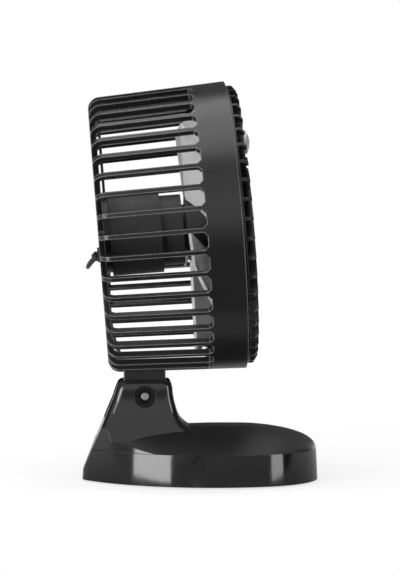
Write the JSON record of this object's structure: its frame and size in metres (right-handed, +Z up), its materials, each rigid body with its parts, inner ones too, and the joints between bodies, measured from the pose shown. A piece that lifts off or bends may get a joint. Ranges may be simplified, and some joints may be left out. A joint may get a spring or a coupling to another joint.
{
  "type": "usb table fan",
  "caption": "Small USB desk fan: round caged head with spiral grille and top dial, tilting on a forked column over a low domed base.",
  "frame": {"origin": "on the table, in the middle of the fan's own box without its cord", "axes": "+X is the way the fan blows, +Z is up, +Y is to its left"},
  "size_m": [0.1368, 0.2407, 0.2308],
  "materials": {
    "cage_black": "satin moulded",
    "grille_black": "satin moulded",
    "base_gloss_black": "gloss",
    "cover_black": "moulded",
    "foot_rubber": "matt",
    "screw_steel": "plated",
    "pivot_steel": "dark plated",
    "washer_nylon": "smooth",
    "blade_grey": "smooth",
    "dial_silver": "metallised",
    "motor_steel": "plated",
    "magnet_ferrite": "matt",
    "core_steel": "laminated",
    "copper": "enamelled wire",
    "bush_bronze": "sintered",
    "brush_copper": "spring strip",
    "cord_pvc": "smooth",
    "plug_pvc": "moulded",
    "usb_steel": "nickel plated",
    "tongue_white": "moulded"
  },
  "bodies": {
    "base": {"base_shell": "base_gloss_black", "base_plate": "cover_black", "base_feet": "foot_rubber", "base_screws": "screw_steel", "pivot_bolt": "pivot_steel", "spring_washer": "pivot_steel", "pivot_nut": "pivot_steel", "pivot_washers": "washer_nylon", "cord_coil": "cord_pvc", "cord_tail": "cord_pvc", "coil_tie": "plug_pvc", "usb_plug_body": "plug_pvc", "usb_plug_shell": "usb_steel", "usb_tongue": "tongue_white"},
    "head": {"rear_cage": "cage_black", "front_grille": "grille_black", "grille_screws": "screw_steel", "dial_switch": "cover_black", "motor_housing": "cover_black", "motor_front_cover": "cover_black", "housing_screws": "screw_steel", "motor_can": "motor_steel", "motor_end_cap": "tongue_white", "rear_bush": "bush_bronze", "front_bush": "bush_bronze", "motor_magnets": "magnet_ferrite", "motor_brushes": "brush_copper", "dial_lead": "cord_pvc", "cord_grommet": "foot_rubber", "motor_lead": "cord_pvc", "cord_hanging": "cord_pvc"},
    "rotor": {"impeller": "blade_grey", "motor_shaft": "motor_steel", "armature": "core_steel", "armature_windings": "copper", "commutator": "copper"},
    "dial": {"speed_dial": "dial_silver", "dial_shaft": "cover_black"}
  },
  "joints": [
    {"name": "head_tilt", "type": "hinge", "parent": "base", "child": "head", "pos_m": [-0.0323, 0, 0.0495], "axis": [0, 1, 0], "range_deg": [-20, 15]},
    {"name": "fan_spin", "type": "hinge", "parent": "head", "child": "rotor", "pos_m": [0.0197, 0, 0.1479], "axis": [0.9969, 0, 0.0785], "continuous": true},
    {"name": "dial_turn", "type": "hinge", "parent": "head", "child": "dial", "pos_m": [0.01601, 0, 0.19476], "axis": [0.9969, 0, 0.0785], "range_deg": [0, 270]}
  ]
}
